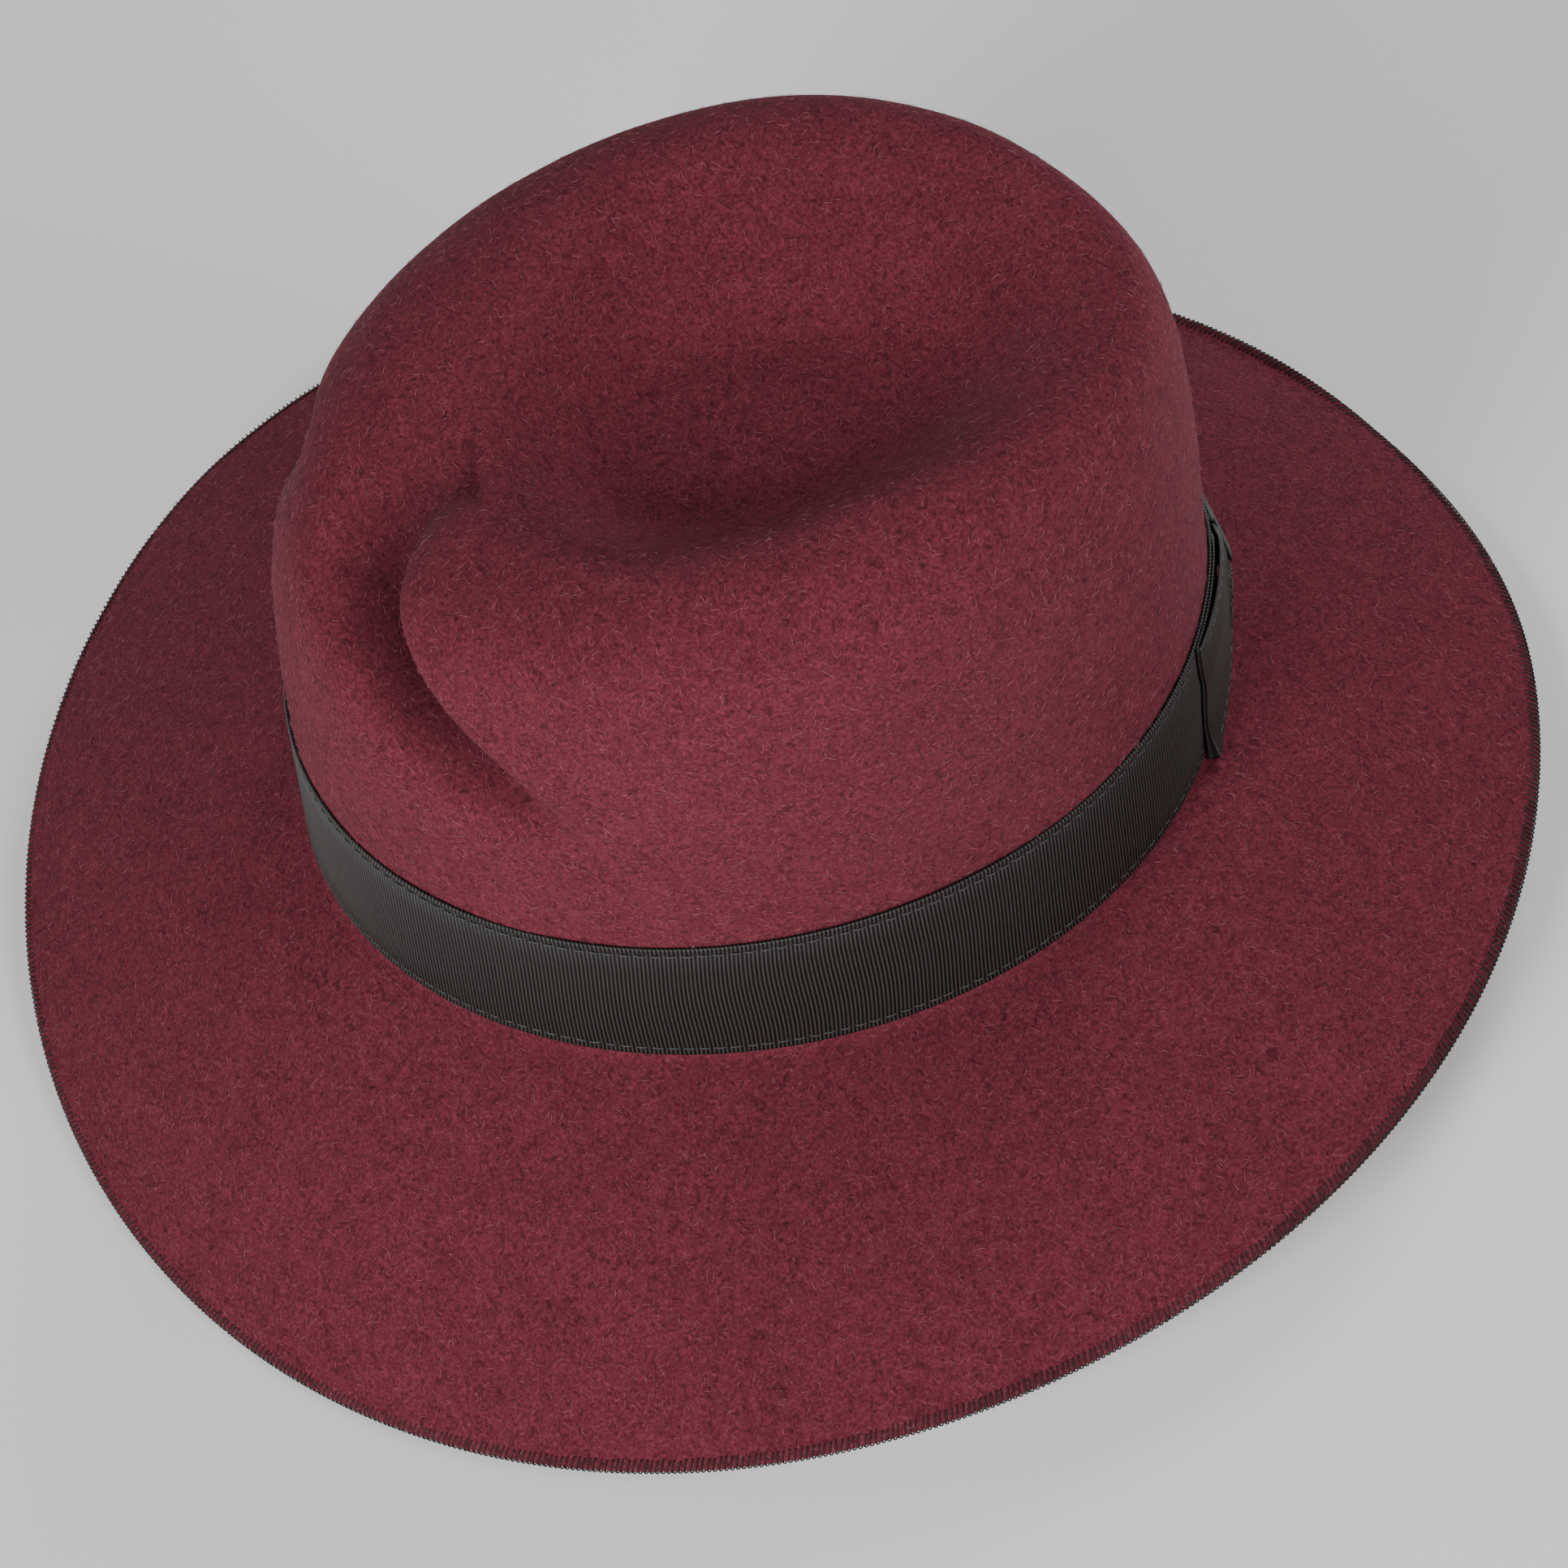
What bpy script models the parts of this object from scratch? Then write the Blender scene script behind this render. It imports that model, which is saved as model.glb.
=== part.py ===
"""Wide brim felt hat: a one-piece felt body with a creased crown, a ribbon band and a flat bow.

Metres, +Z up. The hat rests on the floor on the edge of its own brim, with its front towards -Y
and the origin on the floor in the middle. An azimuth is 0 at the back, 90 at the wearer's left
(+X) and 180 at the front. The crown is drawn in its own frame, with the break between crown and
brim at height 0, and then leans back by CROWN_LEAN on top of the brim.
"""

import math
from collections import namedtuple

import bmesh
import bpy
import numpy as np
from mathutils import Matrix

# Head opening and felt
HEAD_LENGTH = 0.197
HEAD_WIDTH = 0.165
BACK_FULLNESS = 0.0018
BACK_NARROWNESS = 40
FELT = 0.002

# Crown
CROWN_HEIGHT = 0.131
CROWN_TAPER = 0.14
CROWN_LEAN = math.radians(4.5)
SHOULDER_SQUARENESS = 7.0
CREASE_DEPTH = 0.026
CREASE_FLAT = 0.22
DENT_DEPTH = 0.013
DENT_FRONT_SPREAD = 0.020
DENT_REAR_SPREAD = 0.016
DENT_DIP = math.radians(50)

# Brim
BRIM_WIDTH = 0.083
BRIM_DROP = 0.041
BRIM_ROLL = 0.30
EDGE_LIFT = 0.018
EDGE_REST = 0.0025
EDGE_STRIP = 0.003
BREAK_RADIUS = 0.0025

# Ribbon: band, and the bow at the back, which lies flat on the band and is pinched by a knot;
# places along the band run from the middle of the back towards the wearer's left
RIBBON_WIDTH = 0.038
RIBBON = 0.001
RIBBON_GAP = 0.0003
BOW_PLACE = -0.0055
BOW_LENGTH = 0.090
BOW_SLANT = 0.002
BOW_SWAY = 0.0012
BOW_PINCH = 0.62
BOW_PINCH_REACH = 0.013
BOW_FOOT_LIFT = 0.0016
KNOT_WIDTH = 0.011
KNOT_ROUND = 0.0010
KNOT_RISE = 0.0028

# Facets
COLUMNS = 64
FRONT_CROWDING = 0.2
BRIM_RINGS = 6
BREAK_RINGS = 3
WALL_RINGS = 22
CREASE_RINGS = 6
BAND_RINGS = 3
WALL_CROWDING = 0.7
BOW_STEPS = 20
BOW_RINGS = 5
KNOT_STEPS = 4
FINE_STEPS = 300

# The ridge round the top crease, the same on both sides: its reach as a share of the radius of
# the crown's foot, and its height as a share of CROWN_HEIGHT
RidgeRow = namedtuple("RidgeRow", "azimuth reach height")
RIDGE_ROWS = (
    RidgeRow(0, 0.853, 0.95),
    RidgeRow(45, 0.72, 1.00),
    RidgeRow(90, 0.60, 0.985),
    RidgeRow(135, 0.52, 0.945),
    RidgeRow(180, 0.55, 0.875),
)

# The brim: its reach as a share of BRIM_WIDTH, and the lift of its edge above the floor as a
# share of EDGE_LIFT
BrimRow = namedtuple("BrimRow", "azimuth reach lift")
BRIM_ROWS = (
    BrimRow(-135, 1.04, 0.87),
    BrimRow(-90, 0.92, 0.58),
    BrimRow(-45, 0.86, -0.05),
    BrimRow(0, 0.816, 0.28),
    BrimRow(45, 0.91, 0.98),
    BrimRow(90, 0.96, 0.74),
    BrimRow(135, 0.94, 0.20),
    BrimRow(180, 0.93, 0.10),
)

# The dent on each side of the front, from the ridge down: place along the crown's section (0 at
# the foot, 1 on the ridge), degrees from the front, and depth as a share of DENT_DEPTH
DentRow = namedtuple("DentRow", "place turn depth")
DENT_ROWS = (
    DentRow(1.12, 6, 0.00),
    DentRow(1.02, 10, 0.30),
    DentRow(0.95, 15, 0.72),
    DentRow(0.87, 23, 1.00),
    DentRow(0.77, 34.5, 0.90),
    DentRow(0.66, 46, 0.55),
    DentRow(0.56, 55, 0.18),
    DentRow(0.46, 62, 0.00),
)

# The two dents: side (1 is the wearer's left), how much lower and how many degrees further back
# than DENT_ROWS, and share of their depth
DentSide = namedtuple("DentSide", "side drop turn depth")
DENT_SIDES = (
    DentSide(1, 0.00, 0, 1.0),
    DentSide(-1, 0.18, 10, 0.6),
)

FOOT_Y = HEAD_LENGTH / 2 + FELT
FOOT_X = HEAD_WIDTH / 2 + FELT
BAND_FOOT = BREAK_RADIUS * (1 - math.sqrt(RIBBON_GAP / BREAK_RADIUS)) ** 2 + RIBBON_GAP


def column_azimuths():
    """Azimuths of the columns of facets, closer together round the front, where the dents are."""
    turn = np.linspace(-np.pi, np.pi, COLUMNS, endpoint=False)
    return turn + FRONT_CROWDING * np.sin(turn)


def round_column(rows, column, azimuth):
    """A column of an even table read at any azimuth, on a smooth wave through its rows."""
    angles = np.radians([row.azimuth for row in rows])
    values = np.array([getattr(row, column) for row in rows])
    waves = np.arange(len(rows) // 2 + 1)

    def basis(angle):
        turns = np.multiply.outer(angle, waves)
        return np.concatenate([np.cos(turns), np.sin(turns)], axis=-1)

    weights = np.linalg.lstsq(basis(angles), values, rcond=None)[0]
    return basis(azimuth) @ weights


def mirrored(rows):
    """The rows of one side with their mirror images on the other side."""
    other = [row._replace(azimuth=-row.azimuth) for row in rows if 0 < row.azimuth < 180]
    return tuple(rows) + tuple(other)


def graded_column(rows, column, place):
    """A column of the dent's table read at any place, on a smooth curve through its rows."""
    places = np.array([row.place for row in rows])[::-1]
    values = np.array([getattr(row, column) for row in rows])[::-1]
    slopes = np.gradient(values, places)
    place = np.clip(place, places[0], places[-1])
    cell = np.clip(np.searchsorted(places, place) - 1, 0, len(places) - 2)
    span = places[cell + 1] - places[cell]
    part = (place - places[cell]) / span
    return (
        values[cell] * (1 + 2 * part) * (1 - part) ** 2
        + slopes[cell] * span * part * (1 - part) ** 2
        + values[cell + 1] * part**2 * (3 - 2 * part)
        - slopes[cell + 1] * span * part**2 * (1 - part)
    )


def surface_normals(points):
    """Unit outward normals of a grid of points, first index round and second inward."""
    along = np.roll(points, -1, axis=0) - np.roll(points, 1, axis=0)
    up = np.gradient(points, axis=1)
    normals = np.cross(up, along)
    return normals / np.maximum(np.linalg.norm(normals, axis=-1, keepdims=True), 1e-12)


def foot_radius(azimuth):
    """Distance from the crown's axis to its oval foot, which is a little fuller at the back."""
    oval = 1 / np.hypot(np.sin(azimuth) / FOOT_X, np.cos(azimuth) / FOOT_Y)
    return oval + BACK_FULLNESS * np.clip(np.cos(azimuth), 0, 1) ** BACK_NARROWNESS


def crown_point(azimuth, place):
    """The crown before it is pinched: place 0 is the foot, 1 the ridge, 2 the crease's middle."""
    foot = foot_radius(azimuth)
    rows = mirrored(RIDGE_ROWS)
    ridge = foot * round_column(rows, "reach", azimuth)
    top = CROWN_HEIGHT * round_column(rows, "height", azimuth)
    rise = np.clip(place, 0, 1)
    wall = (1 - CROWN_TAPER * rise) * np.sqrt(1 - rise**SHOULDER_SQUARENESS)
    inward = np.clip(place - 1, 0, 1)
    radius = (ridge + (foot - ridge) * wall) * (1 - inward)
    sink = 0.5 - 0.5 * np.cos(np.pi * np.minimum(inward / (1 - CREASE_FLAT), 1))
    crease_floor = CROWN_HEIGHT - CREASE_DEPTH
    height = top * rise - (top - crease_floor) * sink
    return np.stack([radius * np.sin(azimuth), radius * np.cos(azimuth), height], axis=-1)


def dent_depth(azimuth, place, radius):
    """How far the two dents push the crown in."""
    total = 0 * radius
    for dent in DENT_SIDES:
        turn = np.mod(2 * np.pi - dent.side * azimuth, 2 * np.pi) - np.pi
        middle = np.radians(graded_column(DENT_ROWS, "turn", place + dent.drop) + dent.turn)
        across = (turn - middle) * radius
        spread = np.where(across > 0, DENT_REAR_SPREAD, DENT_FRONT_SPREAD)
        depth = DENT_DEPTH * dent.depth * graded_column(DENT_ROWS, "depth", place + dent.drop)
        total = total + depth * np.exp(-((across / spread) ** 2))
    return total


def crown_places():
    """Places along the crown's section, evenly spaced along its length at the side."""
    rise = 1 - np.linspace(1, 0, FINE_STEPS) ** 3
    fine = np.concatenate([rise, np.linspace(1, 2, FINE_STEPS)[1:]])
    section = crown_point(np.full(len(fine), np.pi / 2), fine)
    length = np.concatenate([[0], np.cumsum(np.linalg.norm(np.diff(section, axis=0), axis=1))])
    foot = np.interp(BREAK_RADIUS, section[:, 2], length)
    ridge = np.interp(1, fine, length)
    up = foot + (ridge - foot) * np.linspace(0, 1, WALL_RINGS) ** WALL_CROWDING
    wall = np.interp(up, length, fine)
    crease = np.interp(np.linspace(ridge, length[-1], CREASE_RINGS + 1)[1:-1], length, fine)
    return np.concatenate([wall, crease])


def crown_rings(azimuths):
    """The pinched crown as a grid, from just above the break to just short of the middle."""
    places = crown_places()
    azimuth, place = np.meshgrid(azimuths, places, indexing="ij")
    plain = crown_point(azimuth, place)
    radius = np.hypot(plain[..., 0], plain[..., 1])
    depth = dent_depth(azimuth, place, radius)
    dip = DENT_DIP * np.clip(place, 0, 1) ** 4
    inward = -foot_normals(azimuth) * np.cos(dip)[..., None]
    inward[..., 2] = -np.sin(dip)
    return plain + inward * depth[..., None]


def stand(points):
    """Lean the crown back and lift it from its own frame to its place above the floor."""
    x, y, z = np.moveaxis(np.asarray(points), -1, 0)
    cos, sin = math.cos(CROWN_LEAN), math.sin(CROWN_LEAN)
    return np.stack([x, y * cos + z * sin, z * cos - y * sin + BRIM_DROP + FELT], axis=-1)


def foot_points(azimuths):
    """Points on the crown's oval foot."""
    radius = foot_radius(azimuths)
    return np.stack([radius * np.sin(azimuths), radius * np.cos(azimuths), 0 * azimuths], axis=-1)


def foot_normals(azimuths):
    """Outward directions in plan at the crown's foot."""
    normals = foot_points(azimuths) / np.array([FOOT_X**2, FOOT_Y**2, 1.0])
    return normals / np.linalg.norm(normals, axis=-1, keepdims=True)


def brim_point(azimuths, share):
    """The brim's upper face: share 0 is the break, 1 the edge."""
    foot = stand(foot_points(azimuths))
    reach = BRIM_WIDTH * round_column(BRIM_ROWS, "reach", azimuths)
    lift = EDGE_LIFT * round_column(BRIM_ROWS, "lift", azimuths)
    edge_height = FELT + lift - lift.min() - EDGE_REST
    drop = (1 - BRIM_ROLL) * share + BRIM_ROLL * share**2
    points = foot + foot_normals(azimuths) * (reach * share)[:, None]
    points[:, 2] = foot[:, 2] + (edge_height - foot[:, 2]) * drop
    points[:, 2] = np.maximum(points[:, 2], FELT)
    return points


def brim_rings(azimuths):
    """The brim as a grid, from its edge to where the break begins."""
    strip = 1 - EDGE_STRIP / BRIM_WIDTH
    start = BREAK_RADIUS / BRIM_WIDTH
    shares = np.concatenate([[1], np.linspace(strip, start, BRIM_RINGS)])
    return np.stack([brim_point(azimuths, np.full(len(azimuths), share)) for share in shares], axis=1)


def break_rings(azimuths, outer, inner):
    """The small round between brim and wall, tangent to both."""
    corner = stand(foot_points(azimuths))
    steps = np.linspace(0, 1, BREAK_RINGS + 2)[1:-1]
    rings = [outer * (1 - t) ** 2 + corner * 2 * t * (1 - t) + inner * t**2 for t in steps]
    return np.stack(rings, axis=1)


def felt_grids():
    """The felt's upper and lower faces as grids, and the two points that close the crease."""
    azimuths = column_azimuths()
    brim = brim_rings(azimuths)
    crown = stand(crown_rings(azimuths))
    middle = break_rings(azimuths, brim[:, -1], crown[:, 0])
    upper = np.concatenate([brim, middle, crown], axis=1)
    lower = upper - surface_normals(upper) * FELT
    resting = upper[..., 2] <= FELT
    lower[resting] = upper[resting] - np.array([0, 0, FELT])
    lower[..., 2] = np.maximum(lower[..., 2], 0)
    tip = stand(crown_point(np.array(0.0), np.array(2.0)))
    lean_axis = stand([0, 0, 1]) - stand([0, 0, 0])
    return upper, lower, tip, tip - lean_axis * FELT


def add_grid(bm, points):
    """Vertices of a grid as nested lists, columns first."""
    return [[bm.verts.new(point) for point in column] for column in points]


def skin(bm, grid, flip=False, close_up=False):
    """Facets over a grid that closes round its columns, and round its rows where asked.

    Each four corners are split along the diagonal that runs up towards the front, as the dents do.
    """
    count = len(grid)
    rows = len(grid[0])
    for i in range(count):
        near, far = grid[i], grid[(i + 1) % count]
        for j in range(rows if close_up else rows - 1):
            k = (j + 1) % rows
            corners = [near[j], near[k], far[k], far[j]]
            if i < count // 2:
                corners = corners[1:] + corners[:1]
            a, b, c, d = corners
            for face in ((a, b, c), (a, c, d)):
                bm.faces.new(face[::-1] if flip else face)


def add_part(name, bm, material, sharp_angle=50):
    """One named object from a bmesh, shaded smooth except at its sharp edges."""
    bmesh.ops.recalc_face_normals(bm, faces=bm.faces)
    mesh = bpy.data.meshes.new(name)
    bm.to_mesh(mesh)
    bm.free()
    mesh.shade_smooth()
    mesh.set_sharp_from_angle(angle=math.radians(sharp_angle))
    mesh.materials.append(material)
    part = bpy.data.objects.new(name, mesh)
    bpy.context.scene.collection.objects.link(part)
    return part


def plain_material(name, colour, roughness, sheen=0.0):
    """A Principled material in one colour."""
    material = bpy.data.materials.new(name)
    material.use_nodes = True
    shader = material.node_tree.nodes["Principled BSDF"]
    shader.inputs["Base Color"].default_value = (*colour, 1)
    shader.inputs["Roughness"].default_value = roughness
    shader.inputs["Metallic"].default_value = 0
    shader.inputs["Sheen Weight"].default_value = sheen
    return material


def make_felt_body(material):
    """Crown and brim in one shell of felt, open below for the head."""
    upper, lower, tip, tip_below = felt_grids()
    bm = bmesh.new()
    top = add_grid(bm, upper)
    bottom = add_grid(bm, lower)
    skin(bm, top)
    skin(bm, bottom, flip=True)
    top_tip = bm.verts.new(tip)
    bottom_tip = bm.verts.new(tip_below)
    for i in range(COLUMNS):
        j = (i + 1) % COLUMNS
        bm.faces.new((top[i][0], top[j][0], bottom[j][0], bottom[i][0]))
        bm.faces.new((top[i][-1], top_tip, top[j][-1]))
        bm.faces.new((bottom[j][-1], bottom_tip, bottom[i][-1]))
    return add_part("felt_body", bm, material)


def wall_offset(azimuth, height, offset):
    """Points at a height above the crown's foot and an offset out from its wall."""
    top = CROWN_HEIGHT * round_column(mirrored(RIDGE_ROWS), "height", azimuth)
    wall = crown_point(azimuth, height / top)
    return wall + foot_normals(azimuth) * np.asarray(offset)[..., None]


def make_hat_band(material):
    """The ring of ribbon round the foot of the crown."""
    azimuths = column_azimuths()
    heights = np.linspace(BAND_FOOT, BAND_FOOT + RIBBON_WIDTH, BAND_RINGS)
    inner = [(height, RIBBON_GAP) for height in heights]
    outer = [(height, RIBBON_GAP + RIBBON) for height in heights[::-1]]
    section = inner + outer
    rings = [wall_offset(azimuths, np.full(COLUMNS, h), np.full(COLUMNS, o)) for h, o in section]
    bm = bmesh.new()
    skin(bm, add_grid(bm, stand(np.stack(rings, axis=1))), close_up=True)
    return add_part("hat_band", bm, material)


def bow_pinch(place):
    """How much of the knot's pinch is felt at a place along the band."""
    return np.exp(-(((place - BOW_PLACE) / BOW_PINCH_REACH) ** 4))


def bow_height(place, share):
    """Height above the crown's foot at a share of the bow's width."""
    pinch = bow_pinch(place)
    middle = BAND_FOOT + RIBBON_WIDTH / 2 + KNOT_RISE * pinch
    return middle + RIBBON_WIDTH * (share - 0.5) * (1 - BOW_PINCH * pinch)


def bow_back():
    """Offset from the band to the middle of the bow's layer behind."""
    return RIBBON_GAP + RIBBON / 2


def bow_front(place, share):
    """Offset from the band to the middle of the bow's layer in front."""
    return bow_back() + RIBBON + RIBBON_GAP + BOW_FOOT_LIFT * (1 - share) * bow_pinch(place)


def bow_path(share):
    """The bow's loop at a share of its width: place along the band, and offset from it."""
    fold = (RIBBON + RIBBON_GAP) / 2
    reach = BOW_LENGTH / 2 - fold
    reach += BOW_SLANT * (share - 0.5) + BOW_SWAY * math.sin(2 * math.pi * share)
    places = BOW_PLACE + np.linspace(reach, -reach, BOW_STEPS + 1)
    front = np.stack([places, bow_front(places, share)], axis=-1)
    behind = np.stack([places[::-1], np.full(len(places), bow_back())], axis=-1)
    ends = [(BOW_PLACE - reach - fold, bow_back() + fold), (BOW_PLACE + reach + fold, bow_back() + fold)]
    return np.concatenate([front, ends[:1], behind, ends[1:]])


def ribbon_faces(path):
    """The two faces of a closed ribbon whose middle follows a path."""
    ahead = np.roll(path, -1, axis=0) - np.roll(path, 1, axis=0)
    across = np.stack([-ahead[:, 1], ahead[:, 0]], axis=-1)
    across *= RIBBON / 2 / np.linalg.norm(across, axis=1, keepdims=True)
    return path + across, path - across


def on_band(place, height, offset):
    """Points at places along the band, heights above the crown's foot and offsets from the band."""
    return wall_offset(place / FOOT_Y, height, RIBBON_GAP + RIBBON + offset)


def make_ribbon_bow(material):
    """The flat bow at the back: one closed loop of ribbon, narrowed at the knot."""
    inner, outer = [], []
    for share in np.linspace(0, 1, BOW_RINGS):
        for faces, face in zip((inner, outer), ribbon_faces(bow_path(share))):
            faces.append(on_band(face[:, 0], bow_height(face[:, 0], share), face[:, 1]))
    bm = bmesh.new()
    skin(bm, add_grid(bm, stand(np.stack(inner + outer[::-1], axis=1))), close_up=True)
    return add_part("ribbon_bow", bm, material)


def knot_section(place, thick):
    """Section of the knot's wrap at a place, thick away from the bow: heights and offsets."""
    out = RIBBON / 2 + RIBBON_GAP + thick
    top = bow_height(place, 1) + KNOT_ROUND / 2 + out - RIBBON / 2
    foot = bow_height(place, 0) - KNOT_ROUND / 2 - out + RIBBON / 2
    top_front = bow_front(place, 1) + out
    foot_front = bow_front(place, 0) + out
    return [
        (top, RIBBON_GAP),
        (top, top_front - KNOT_ROUND),
        (top - KNOT_ROUND, top_front),
        (foot + KNOT_ROUND, foot_front),
        (foot, foot_front - KNOT_ROUND),
        (foot, RIBBON_GAP),
    ]


def make_bow_knot(material):
    """The knot: a strip of ribbon wrapped over the middle of the bow, its ends tucked in."""
    columns = []
    for place in BOW_PLACE + KNOT_WIDTH * np.linspace(-0.5, 0.5, KNOT_STEPS + 1):
        section = knot_section(place, 0) + knot_section(place, RIBBON)[::-1]
        columns.append([on_band(place, height, offset) for height, offset in section])
    bm = bmesh.new()
    grid = add_grid(bm, stand(np.array(columns)))
    for near, far in zip(grid, grid[1:]):
        for j in range(len(near)):
            k = (j + 1) % len(near)
            bm.faces.new((near[j], near[k], far[k], far[j]))
    for column in (grid[0], grid[-1]):
        for j in range(len(column) // 2 - 1):
            bm.faces.new((column[j], column[j + 1], column[-2 - j], column[-1 - j]))
    return add_part("bow_knot", bm, material)


def centre_in_plan(parts):
    """Bring the middle of the hat's outline in plan to the origin."""
    points = np.array([vertex.co for part in parts for vertex in part.data.vertices])
    middle = (points.min(axis=0) + points.max(axis=0)) / 2
    for part in parts:
        part.data.transform(Matrix.Translation((-middle[0], -middle[1], 0)))


def clear_scene():
    for item in list(bpy.data.objects):
        bpy.data.objects.remove(item)


def main():
    clear_scene()
    felt = plain_material("burgundy_felt", (0.150, 0.017, 0.031), 0.95, sheen=0.4)
    ribbon = plain_material("black_grosgrain", (0.013, 0.013, 0.012), 0.55)
    ribbons = [make(ribbon) for make in (make_hat_band, make_ribbon_bow, make_bow_knot)]
    centre_in_plan([make_felt_body(felt)] + ribbons)


main()
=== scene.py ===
import math
from collections import namedtuple

import bpy
import numpy as np
from mathutils import Matrix


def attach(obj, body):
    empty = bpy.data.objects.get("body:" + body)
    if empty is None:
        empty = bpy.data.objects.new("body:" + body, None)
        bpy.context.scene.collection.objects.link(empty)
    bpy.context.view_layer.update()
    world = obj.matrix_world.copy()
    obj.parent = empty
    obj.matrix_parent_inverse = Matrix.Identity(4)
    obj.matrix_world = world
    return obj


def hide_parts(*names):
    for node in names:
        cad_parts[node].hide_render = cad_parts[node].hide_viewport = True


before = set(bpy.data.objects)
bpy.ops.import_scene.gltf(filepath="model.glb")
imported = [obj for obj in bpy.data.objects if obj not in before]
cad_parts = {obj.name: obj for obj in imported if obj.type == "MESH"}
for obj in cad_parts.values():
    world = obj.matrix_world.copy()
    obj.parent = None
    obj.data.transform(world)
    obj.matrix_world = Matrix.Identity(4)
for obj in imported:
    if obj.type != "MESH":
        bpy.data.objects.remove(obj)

# Everything is in metres, +Z up, the hat's front towards -Y and its left side towards +X. An
# azimuth is 0 at the back, 90 at the wearer's left and 180 at the front. The shapes below follow
# the CAD's own curves at a finer step, with the crown's crease and dents a few millimetres deeper
# or shallower, as the real hat's are, so that each visible piece lies on or close to its CAD node.

# Head opening, felt and crown
HEAD_LENGTH = 0.197
HEAD_WIDTH = 0.165
BACK_FULLNESS = 0.0018
BACK_NARROWNESS = 40
FELT = 0.002
CROWN_HEIGHT = 0.131
CROWN_TAPER = 0.14
CROWN_LEAN = math.radians(4.5)
SHOULDER_SQUARENESS = 7.0
CREASE_DEPTH = 0.030
CREASE_FLAT = 0.34
DENT_DEPTH = 0.0175
DENT_FRONT_SPREAD = 0.016
DENT_REAR_SPREAD = 0.0088
DENT_DIP = math.radians(50)

# Brim
BRIM_WIDTH = 0.083
BRIM_DROP = 0.041
BRIM_ROLL = 0.30
EDGE_LIFT = 0.018
EDGE_REST = 0.0025
BREAK_RADIUS = 0.0025
PLAN_MIDDLE = (0.00108, -0.00394)

# Ribbon: band, and the bow at the back with its knot; places along the band run from the middle
# of the back towards the wearer's left
RIBBON_WIDTH = 0.038
RIBBON = 0.0005
RIBBON_GAP = 0.0003
BAND_BACK = 0.0001
BOW_PLACE = -0.0055
BOW_LENGTH = 0.090
BOW_PINCH = 0.62
BOW_PINCH_REACH = 0.013
BOW_FOOT_LIFT = 0.0022
BOW_PUFF = 0.0007
BOW_FLARE = 0.0022
BOW_WAIST = 0.0012
BOW_GAP = 0.0002
PLEAT = 0.0005
PLEAT_COUNT = 2.5
PLEAT_REACH = 0.017
KNOT_WIDTH = 0.011
KNOT_ROUND = 0.0010
KNOT_RISE = 0.0028
KNOT_RIBS = 34
KNOT_COLUMNS = 15
KNOT_BULGE = 0.0003

# Fine make: ribs of the ribbon, stitches, the thread round the raw edge and the felt's hair
RIB_PITCH = 0.00090
RIB_HEIGHT = 0.00022
RIB_STEPS = 4
RIB_SWAY = 0.0006
# Point attribute carrying a painted sheen on the ribs' tops and painted shade between them
RIB_SHEEN_AND_SHADE = "painted_rib_sheen_and_shade"
STITCH_PITCH = 0.0033
STITCH_LENGTH = 0.0025
STITCH_INSET = 0.0023
STITCH_THREAD = 0.00022
SELVEDGE_STEP = 0.0001
EDGE_PITCH = 0.00125
EDGE_INSET = 0.0015
EDGE_SLANT = 0.0008
EDGE_THREAD = 0.00019
EDGE_WANDER = 0.00025
EDGE_STEPS = 6
EDGE_ROOM = 0.0015
HAIRS = 16000
HAIR_LENGTH = 0.0020
HAIR_RADIUS = 0.000034
HAIR_LIFT = (0.00003, 0.00028)
HAIR_CURL = 1.1
HAIR_CORNERS = (0.5, 2.6, 4.7)
UNEVENNESS = 0.00015
# Point attribute carrying painted shade: how deep the dents pinch the felt, which darkens its colour
# there
DENT_SHADE_ATTRIBUTE = "painted_dent_shade"

# Steps
COLUMNS = 288
FRONT_CROWDING = 0.2
BRIM_RINGS = 34
BREAK_RINGS = 5
WALL_RINGS = 80
CREASE_RINGS = 26
FINE_STEPS = 300
SEED = 11

# The ridge round the top crease: its reach as a share of the radius of the crown's foot, and its
# height as a share of CROWN_HEIGHT
RidgeRow = namedtuple("RidgeRow", "azimuth reach height")
RIDGE_ROWS = (
    RidgeRow(-135, 0.52, 0.945),
    RidgeRow(-90, 0.60, 0.985),
    RidgeRow(-45, 0.72, 1.00),
    RidgeRow(0, 0.853, 0.95),
    RidgeRow(45, 0.75, 1.00),
    RidgeRow(90, 0.66, 0.98),
    RidgeRow(135, 0.60, 0.935),
    RidgeRow(180, 0.50, 0.895),
)

# The brim: its reach as a share of BRIM_WIDTH, and the lift of its edge as a share of EDGE_LIFT
BrimRow = namedtuple("BrimRow", "azimuth reach lift")
BRIM_ROWS = (
    BrimRow(-135, 1.04, 0.87),
    BrimRow(-90, 0.92, 0.58),
    BrimRow(-45, 0.86, -0.05),
    BrimRow(0, 0.816, 0.28),
    BrimRow(45, 0.91, 0.98),
    BrimRow(90, 0.96, 0.74),
    BrimRow(135, 0.94, 0.20),
    BrimRow(180, 0.93, 0.10),
)

# The dents: place along the crown's section, degrees from the front, share of DENT_DEPTH
DentRow = namedtuple("DentRow", "place turn depth")
DENT_ROWS = (
    DentRow(1.12, 3, 0.00),
    DentRow(1.02, 6.5, 0.24),
    DentRow(0.95, 13, 0.72),
    DentRow(0.87, 23, 1.00),
    DentRow(0.77, 35, 0.90),
    DentRow(0.66, 46, 0.52),
    DentRow(0.56, 54, 0.14),
    DentRow(0.46, 60, 0.00),
)

# Left and right dent: shift down the section, degrees further back, share of the depth
DentSide = namedtuple("DentSide", "side drop turn depth")
DENT_SIDES = (
    DentSide(1, 0.00, 0, 1.0),
    DentSide(-1, 0.18, 14, 0.42),
)

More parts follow.
